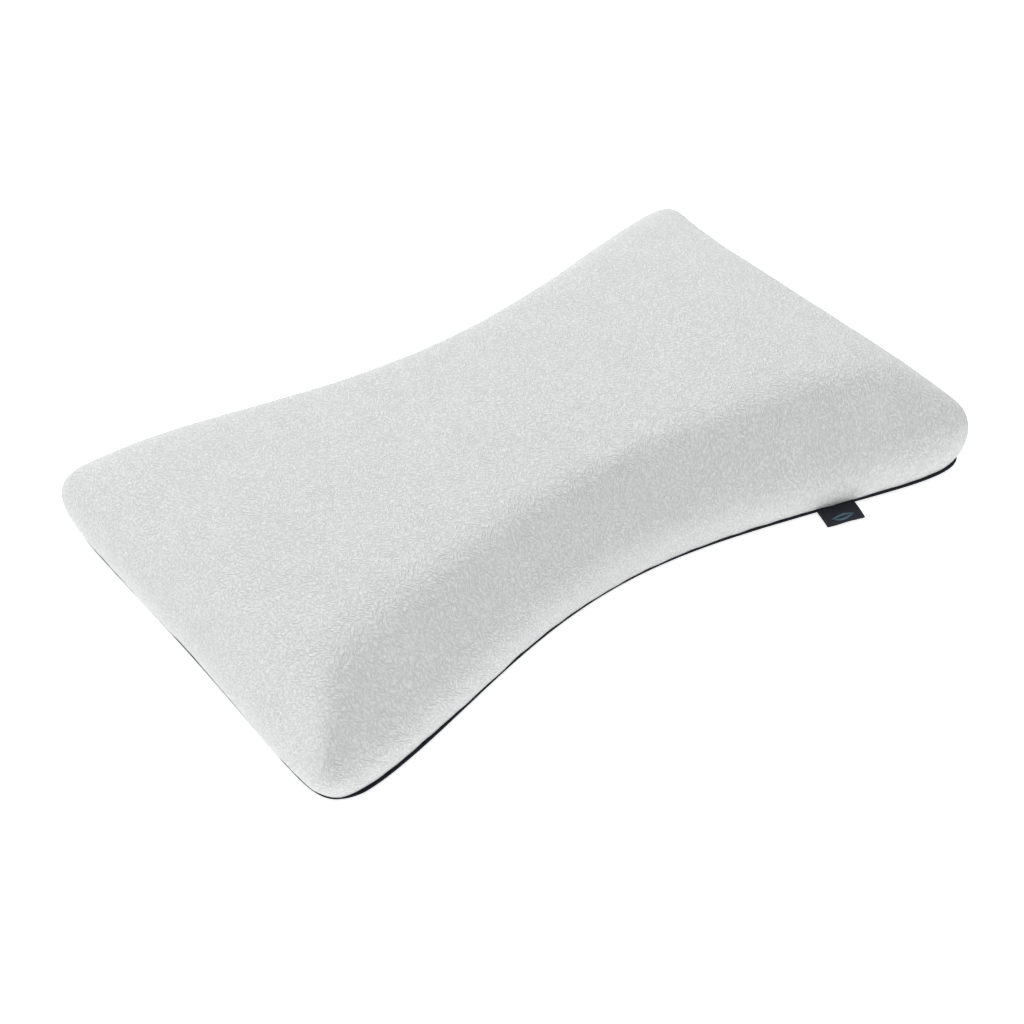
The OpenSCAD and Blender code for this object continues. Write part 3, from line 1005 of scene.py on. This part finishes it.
# The section of the folded piping cloth: round the cord, then two flanges with a slit between
piping_thickness = 0.5
flange = 7.0
hollow = piping_radius - piping_thickness
opening = math.asin(piping_thickness / piping_radius)
outer_turn = np.linspace(math.pi - opening, opening - math.pi, 18)
inner_turn = np.linspace(0.04 - math.pi, math.pi - 0.04, 14)
slit = 0.03
piping_section = np.concatenate([
    [(-flange, piping_thickness)],
    piping_radius * np.stack([np.cos(outer_turn), np.sin(outer_turn)], axis=-1),
    [(-flange, -piping_thickness), (-flange, -slit)],
    hollow * np.stack([np.cos(inner_turn), np.sin(inner_turn)], axis=-1),
    [(-flange, slit)],
])
rings = sweep(piping_line, grid.normal_3d, up_3d, piping_section)
run_along = distances(piping_line)
cloth_grid = np.stack(np.meshgrid(run_along, distances(piping_section), indexing="ij"), axis=-1)
piping = add_mesh(
    "piping_cover", rings.reshape(-1, 3),
    grid_faces(grid.ring_points, len(piping_section), close_rows=True, close_columns=True),
    piping_weave, cloth_grid.reshape(-1, 2),
)
settle(piping, "pillow", "piping_cloth")

# The filler cord: three strands, so its round section has three lobes that turn along it
strands, cord_sides, cord_radius = 3, 15, 0.92
turn = 2 * math.pi * np.arange(cord_sides) / cord_sides
twist = run_along[:, None] / 2.4
lobed_radius = cord_radius * (1 + 0.09 * np.cos(strands * turn + twist))
cord_points = sweep(
    piping_line, grid.normal_3d, up_3d, lobed_radius[..., None] * circle(cord_sides)
)
cord = add_mesh(
    "piping_filler", cord_points.reshape(-1, 3),
    grid_faces(grid.ring_points, cord_sides, close_rows=True, close_columns=True), cord_cotton,
)
settle(cord, "pillow", "piping_cord")

# The base lies flat, and curves up to the piping over the last few millimetres
base_thickness = 1.0
base_edge = piping_line.copy()
base_edge[:, :2] -= grid.normal * 0.6
rise = piping_line[:, 2] - piping_radius - base_thickness
base_insets = np.array([0.0, 0.25, 0.9, 2.2, 4.0, 6.5, 10.0, 16.0, 19.0, 24.0])
base_rounding = [0.35, 0.12] + [0.0] * (len(base_insets) - 2)
fade = np.clip(1 - base_insets / 16, 0, 1) ** 2.6
levels = [np.maximum(rise * f, 0) for f in fade]
below = [z + r for z, r in zip(levels, base_rounding)]
above = [z + base_thickness - r for z, r in zip(levels, base_rounding)]
base = panel(
    "base_panel",
    inset_rings(base_edge, base_insets, below), inset_rings(base_edge, base_insets, above),
    base_cloth,
)
settle(base, "pillow", "cover_base")

# ---------------- zip

zip_rows = np.linspace(-zip_half_length, zip_half_length, 126)


def rounded_section(low, high, corner, steps):
    """The (x, z) section of a box, with round corners."""
    (width, _, height), middle = high - low, (low + high) / 2
    return np.array(rounded_outline(width, height, corner, middle[[0, 2]], steps))


def zip_tape(name, node, beaded_top):
    """A woven tape with a beaded edge beside the coil."""
    low, high = box_mm(node)
    section = rounded_section(low, high, 0.22, 3)
    bead_z = low[2] + 0.5 if beaded_top else high[2] - 0.5
    near = np.exp(-((section[:, 1] - bead_z) / 0.5) ** 2)
    middle = (low[0] + high[0]) / 2
    section[:, 0] = middle + (section[:, 0] - middle) * (1 - 0.25 * (1 - near))
    piece = add_mesh(name, *prism(section, zip_rows), tape_weave)
    settle(piece, "pillow", node)


zip_tape("cover_side_tape", "zip_tape_upper", True)
zip_tape("base_side_tape", "zip_tape_lower", False)

COIL_PITCH = 1.3
WIRE = 0.3
# How far past the middle each coil reaches, between the turns of the other
MESH = 0.25


def zip_coil(name, node, side, offset):
    """A helix of nylon wire over the zip's middle (side 1) or under it (side -1)."""
    low, high = box_mm(node)
    outer_z = high[2] if side > 0 else low[2]
    inner_z = zip_height - MESH * side
    turns = int((high[1] - low[1] - 1.2) / COIL_PITCH)
    t = np.linspace(0, 2 * math.pi * turns, turns * 12 + 1)
    middle_z, reach_z = (outer_z + inner_z) / 2, abs(outer_z - inner_z) / 2 - WIRE
    middle_x, reach_x = (low[0] + high[0]) / 2, (high[0] - low[0]) / 2 - WIRE
    path = np.stack([
        middle_x - reach_x * np.cos(t),
        low[1] + 0.6 + offset + COIL_PITCH * t / (2 * math.pi),
        middle_z + reach_z * np.sin(t),
    ], axis=-1)
    piece = add_mesh(name, *tube(path, WIRE, 6), zip_nylon)
    settle(piece, "pillow", node)


zip_coil("cover_side_coil", "zip_coil_upper", 1, 0.0)
zip_coil("base_side_coil", "zip_coil_lower", -1, COIL_PITCH / 2)

# Stitches that hold the coils to their tapes, and the hem above the window
for name, side in (("coil_stitches_upper", 1), ("coil_stitches_lower", -1)):
    plan = np.stack([np.full_like(zip_rows, tape_high[0]), zip_rows * 0.965], axis=-1)
    line = raised(plan, zip_height + 3.1 * side)
    row = add_mesh(name, *stitches(line, (1, 0, 0), 1.7, 0.6, 0.16), navy_thread)
    settle(row, "pillow")


hem_y = np.linspace(-zip_half_length - 2, zip_half_length + 2, 220)
inside = np.stack([np.full_like(hem_y, 250.0), hem_y], axis=-1)
hem_line = find_surface(raised(inside, window_top + 2.4), (1.0, 0.0, 0.0), 80, 0.0)
hem_lift = surface_normal(hem_line)
hem_line = with_life(hem_line, seam_height)
hem = add_mesh("hem_stitches", *stitches(hem_line, hem_lift, 2.6, 1.0, 0.28), pale_thread)
settle(hem, "pillow")


def node_points(node):
    """The vertices of a CAD node, in millimetres."""
    return np.array([v.co for v in frame["nodes"][node].data.vertices], float) / MM


def small_blocks(name, node, material, rows):
    """Rounded blocks that stand where the separate solids of a CAD node do."""
    low, high = box_mm(node)
    ys = node_points(node)[:, 1]
    section = rounded_section(low, high, 0.45, 4)
    steps = np.linspace(0, 1, rows)
    swell = 1 - 0.22 * np.abs(2 * steps - 1) ** 4
    scale = np.stack([swell, np.ones(rows), swell], axis=-1)[:, None]
    parts = []
    for values in (ys[ys > 0], ys[ys < 0]):
        if len(values):
            points, faces = prism(section, values.min() + (values.max() - values.min()) * steps)
            points = points.reshape(rows, -1, 3)
            middle = points.mean(axis=1, keepdims=True)
            parts.append((middle + (points - middle) * scale, faces))
    piece = add_mesh(name, *joined(parts), material)
    settle(piece, "pillow", node)


small_blocks("top_stops", "zip_top_stops", zip_metal, 9)
small_blocks("bottom_stop", "zip_bottom_stop", zip_metal, 9)
small_blocks("end_tabs", "zip_end_tabs", tape_weave, 7)

# ---------------- slider and pull tab

slider_y = (slider_low[1] + slider_high[1]) / 2
slider_length = slider_high[1] - slider_low[1]
slider_half = (slider_high[2] - slider_low[2]) / 2
plate = 0.9
plate_back = slider_low[0]
coil_face = box_mm("zip_coil_upper")[1][0]
plate_front = coil_face + 0.3


def slider_outline():
    """The slider's outline: a wide rounded front with two lobes and a narrower back."""
    side = []
    for t in np.linspace(0, 1, 15):
        along = -slider_length / 2 + slider_length * t
        wide = slider_half * (0.74 + 0.26 / (1 + math.exp(-(t - 0.42) * 14)))
        end = min(1.0, (t / 0.10) ** 0.5, ((1 - t) / 0.12) ** 0.5)
        side.append((along, wide * (0.55 + 0.45 * end)))
    notch = [(slider_length / 2 - 1.1, 0.0)]
    return side + notch + [(u, -v) for u, v in side[::-1]]


slider_parts = []


def add_to_slider(outline, x, thickness, bevel, along=0.0):
    """Adds a plate drawn in (along +Y, up Z) and centred on x."""
    points, faces = cut_plate(outline, [], thickness, bevel)
    moved = points[:, [2, 0, 1]] + (x, slider_y + along, zip_height)
    slider_parts.append((moved, faces))


for x in (plate_back + plate / 2, plate_front + plate / 2):
    add_to_slider(slider_outline(), x, plate, 0.22)
# The post that parts the coils, and a flange along each side of both plates
post = [(-1.5, 0.0), (0.0, 0.45), (1.2, 0.62), (1.5, 0.0), (1.2, -0.62), (0.0, -0.45)]
post_x = (plate_front + plate_back + plate) / 2
add_to_slider(post, post_x, plate_front - plate_back - plate + 0.2, 0.05, slider_length / 2 - 2.4)
for side in (-1, 1):
    rim = rounded_outline(slider_length - 2.6, 0.75, 0.3, (-0.2, side * (slider_half - 0.45)))
    add_to_slider(rim, plate_front - 0.1, 0.9, 0.18)
    add_to_slider(rim, plate_back + plate + 0.2, 0.8, 0.18)

# The bail: a flat strap that arches from the front plate over the tab's bar
bail_half, strap, strap_thick = 3.5, 2.8, 0.8
arch = np.linspace(0, math.pi, 17)
crown = slider_high[0] - strap_thick / 2
foot = plate_front + plate * 0.5
bail_u = (bail_half - strap_thick / 2) * np.sign(np.cos(arch)) * np.abs(np.cos(arch)) ** 0.45
bail_x = foot + (crown - foot) * np.abs(np.sin(arch)) ** 0.45
bail_path = np.stack([bail_x, slider_y + bail_u, np.full_like(arch, zip_height)], axis=-1)
tangent = unit(np.gradient(bail_path, axis=0))
wide = np.broadcast_to(UP, tangent.shape)
strap_section = rounded_outline(strap, strap_thick, 0.33, steps=4)
strap_rings = sweep(bail_path, wide, np.cross(tangent, wide), strap_section)
slider_parts.append((strap_rings, tube_faces(len(arch), len(strap_section))))
slider = add_mesh("slider_body", *joined(slider_parts), zip_metal, turn=False)
settle(slider, "slider", "zip_slider")

tab_low, tab_high = box_mm("zip_pull_tab")
tab_x, tab_end = (tab_low[0] + tab_high[0]) / 2, tab_high[1]
tab_thick, tab_length, tab_width = tab_high - tab_low
tab_half = tab_width / 2
tab_parts = []


def tab_outline():
    """The pull's outline along its length: a narrow neck, then a longer rounded grip."""
    side = []
    for t in np.linspace(0, 1, 41):
        u = tab_length * t
        neck = 0.92 - 0.14 * math.exp(-((t - 0.42) / 0.09) ** 2)
        near = min(1.0, math.sqrt(max(0.0, 1 - (1 - min(u / 1.2, 1)) ** 2)))
        far = min(1.0, math.sqrt(max(0.0, 1 - (1 - min((tab_length - u) / 2.4, 1)) ** 2)))
        side.append((u, tab_half * min(neck + 0.08 * (t > 0.6), 1.0) * max(0.35, min(near, far))))
    return side + [(u, -v) for u, v in side[::-1]]


def add_to_tab(outline, holes, thickness, bevel):
    """Adds a plate drawn in (along -Y, down Z), from the tab's hinge."""
    points, faces = cut_plate(outline, holes, thickness, bevel)
    moved = points[:, [2, 0, 1]] * (1, -1, -1) + (tab_x, tab_end, zip_height)
    tab_parts.append((moved, faces))


bar = 0.7
grip = (tab_length - 5.4, 0.0)
eye = rounded_outline(6.2, 3.7, 0.9, (bar + 3.1, 0.0))[::-1]
grip_hole = rounded_outline(5.4, 1.7, 0.84, grip)[::-1]
add_to_tab(tab_outline(), [eye, grip_hole], tab_thick, 0.16)
for side in (-1, 1):
    rib = rounded_outline(4.6, 0.5, 0.24, (grip[0], side * (tab_half - 0.85)))
    add_to_tab(rib, [], tab_thick + 0.16, 0.06)
tab = add_mesh("pull_tab", *joined(tab_parts), zip_metal, turn=False)
settle(tab, "pull", "zip_pull_tab")

# ---------------- the two labels

joints = {joint["name"]: joint for joint in frame["joints"]}


class Label:
    """A folded tape whose root is on a hinge of the frame, out and down from the seam.

    ply is the cloth's thickness, fold the distance between its two halves, sag how far the tip
    hangs, and trim how much shorter it is than the CAD node.
    """

    start = -7.0
    bend = 4.0

    def __init__(self, node, joint, body, ply, fold, sag, trim=0.0):
        hinge = joints[joint]
        self.body = body
        self.root = np.array(hinge["pos_m"], float) / MM
        axis = np.array(hinge["axis"], float)
        self.out = np.array([-axis[1], axis[0], 0.0])
        self.along = np.array([axis[0], axis[1], 0.0])
        corners = node_points(node) - self.root
        self.length = (corners @ self.out).max() - trim
        self.half_width = np.abs(corners @ self.along).max() + trim / 4
        self.ply, self.fold, self.sag = ply, fold, sag
        self.top = fold / 2 + ply / 2

    def drop(self, s, across):
        """How far the tape hangs down at a distance out, with a slight curl at its corners."""
        share = np.clip(s / self.length, 0, 1)
        curl = 0.25 * share ** 3 * np.cos(across / self.half_width * 4.1 + 0.6)
        return self.sag * share ** 1.5 - curl

    def place(self, s, across, lift):
        """Points at a distance out, along and over the tape's middle."""
        z = lift - self.drop(s, across)
        return (
            self.root + s[..., None] * self.out + across[..., None] * self.along + z[..., None] * UP
        )

    def tape(self, name, material):
        """The folded cloth."""
        out_steps = np.linspace(self.start, self.length - self.fold, 22)
        turn = np.linspace(-math.pi / 2, math.pi / 2, 9)
        outer, inner = self.top, self.top - self.ply
        tip = self.length - outer
        line = []
        for radius, order in ((outer, 1), (inner, -1)):
            part = [(s, -radius) for s in out_steps]
            part += [(tip + radius * math.cos(a), radius * math.sin(a)) for a in turn]
            part += [(s, radius) for s in out_steps[::-1]]
            line += part[::order]
        line = np.array(line)
        across = np.linspace(-self.half_width, self.half_width, 61)
        s, position = np.meshgrid(line[:, 0], across)
        lift = np.broadcast_to(line[:, 1], s.shape)
        points = self.place(s, position, lift)
        faces = grid_faces(len(across), len(line), close_columns=True)
        last = (len(across) - 1) * len(line)
        ends = []
        half_line = len(line) // 2
        for k in range(half_line - 1):
            a, b = k, k + 1
            c, d = len(line) - 1 - k, len(line) - 2 - k
            ends.append([a, b, d, c])
            ends.append([last + a, last + c, last + d, last + b])
        cloth = np.stack([position, np.broadcast_to(distances(line), s.shape)], axis=-1)
        piece = add_mesh(name, points.reshape(-1, 3), faces + ends, material, cloth.reshape(-1, 2))
        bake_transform(piece)
        return piece

    def ribbon(self, path, width, height):
        """(points, faces) of a slim raised band on the tape's top, along (out, along) points."""
        path = np.array(path, float)
        along = unit(np.gradient(path, axis=0))
        side = np.stack([-along[:, 1], along[:, 0]], axis=-1)
        width = np.broadcast_to(width, (len(path),))
        profile = [(-0.5, -0.05), (-0.42, 0.7), (0.0, 1.0), (0.42, 0.7), (0.5, -0.05), (0.0, -0.1)]
        rings = []
        for share, level in profile:
            flat = path + side * (width * share)[:, None]
            rings.append(self.place(*flat.T, self.top + height * level))
        return np.stack(rings, axis=1).reshape(-1, 3), tube_faces(len(path), len(profile))


side_label = Label("side_label", "side_label_fold", "front_tab", 0.38, 0.5, 1.0, 3.0)
tape = side_label.tape("side_label_tape", label_weave)
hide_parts("side_label")

# A generic mark: two waves, woven in teal and blue. Each has a place out from the middle, a half
# length, and a dark and a light tint
mark_out = (side_label.bend + side_label.length) / 2 - 1.0
steps = np.linspace(-1, 1, 41)
taper = 2.0 * np.sqrt(np.clip(1 - steps ** 2, 0.02, 1))
for name, shift, size, dark, light in (
    ("teal", -1.2, 9.5, grey(0.11, (0.35, 1.0, 1.15)), grey(0.21, (0.4, 1.0, 1.1))),
    ("blue", 1.2, 7.5, grey(0.11, (0.45, 0.9, 1.5)), grey(0.20, (0.5, 0.9, 1.4))),
):
    path = np.stack([mark_out + shift + 0.9 * np.sin(2.6 * steps + shift), size * steps], axis=-1)
    mark_thread = thread_material("mark_" + name, dark, light, Roughness=0.45)
    wave = add_mesh("mark_wave_" + name, *side_label.ribbon(path, taper, 0.14), mark_thread)
    settle(wave, "front_tab")

edge_rows = []
for position in (-side_label.half_width + 1.3, side_label.half_width - 1.3):
    s = np.linspace(side_label.bend + 0.2, side_label.length - 1.0, 40)
    line = side_label.place(s, np.full_like(s, position), side_label.top)
    edge_rows.append(stitches(line, UP, 1.5, 0.45, 0.15))
edges = add_mesh("side_label_stitches", *joined(edge_rows), label_thread)
settle(edges, "front_tab")

care_label = Label("care_label", "care_label_fold", "back_tab", 0.36, 0.46, 2.6)
tape_care = care_label.tape("care_label_tape", care_weave)
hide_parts("care_label")
bars = []
for row, share in enumerate((0.8, 0.55, 0.75, 0.62, 0.8, 0.4, 0.7)):
    s = care_label.bend + 3.0 + row * 3.4
    start = -care_label.half_width + 3.0
    stop = start + (2 * care_label.half_width - 6.0) * share
    path = [(s, position) for position in np.linspace(start, stop, 14)]
    bars.append(care_label.ribbon(path, 0.7, 0.05))
care_print = add_mesh("care_label_bars", *joined(bars), print_ink)
settle(care_print, "back_tab")

# ---------------- floor, light and camera

floor_tree = new_tree("studio_floor")
floor_shader = wire(floor_tree, "BsdfPrincipled", {
    "Base Color": grey(0.9), "Roughness": 1.0, "Specular IOR Level": 0.0,
    "Emission Color": grey(1.0), "Emission Strength": 0.78,
})
wire(floor_tree, "OutputMaterial", {"Surface": floor_shader})
floor_half, floor_z = 6000.0, -0.3
corners = [(-1, -1), (1, -1), (1, 1), (-1, 1)]
floor = add_mesh(
    "floor", [(floor_half * x, floor_half * y, floor_z) for x, y in corners], [[0, 1, 2, 3]],
    bpy.data.materials["studio_floor"], smooth=False,
)

world = bpy.data.worlds.new("studio")
bpy.context.scene.world = world
world.use_nodes = True
sky = world.node_tree.nodes["Background"].inputs
sky["Color"].default_value = grey(1.0)
sky["Strength"].default_value = 0.42


def add_light(name, direction, distance, size, power):
    """A square area light that faces the pillow from a direction, in metres and watts."""
    light = bpy.data.lights.new(name, "AREA")
    light.size = size
    light.energy = power
    lamp = bpy.data.objects.new(name, light)
    direction = np.array(direction) / np.linalg.norm(direction)
    lamp.location = direction * distance
    lamp.rotation_euler = Vector(direction).to_track_quat("Z", "Y").to_euler()
    bpy.context.scene.collection.objects.link(lamp)


add_light("key", (0.0, 0.5, 0.87), 6.0, 5.0, 298.0)
add_light("fill", (-0.3, -0.85, 0.5), 6.0, 5.0, 22.0)

# The camera of the photo: its turn and height over the pillow, how far it is, and where it aims
azimuth, elevation = math.radians(-36.89), math.radians(41.82)
distance, focal = 1629.4, 2149.5
aim_across, aim_up = -8.0, -15.8
IMAGE_SIDE, SENSOR = 1024, 36.0

right = np.array([math.cos(azimuth), math.sin(azimuth), 0.0])
level_back = np.array([math.sin(azimuth), -math.cos(azimuth), 0.0])
back = level_back * math.cos(elevation) + UP * math.sin(elevation)
above = np.cross(back, right)
lens = bpy.data.cameras.new("photo_camera")
lens.sensor_width = SENSOR
lens.lens = focal / IMAGE_SIDE * SENSOR
lens.clip_start, lens.clip_end = 0.05, 50.0
camera = bpy.data.objects.new("photo_camera", lens)
camera.location = (back * distance + right * aim_across + above * aim_up) * MM
camera.rotation_euler = Vector(back).to_track_quat("Z", "Y").to_euler()
bpy.context.scene.collection.objects.link(camera)
bpy.context.scene.camera = camera
bpy.context.scene.view_settings.view_transform = "Standard"

bpy.context.view_layer.update()
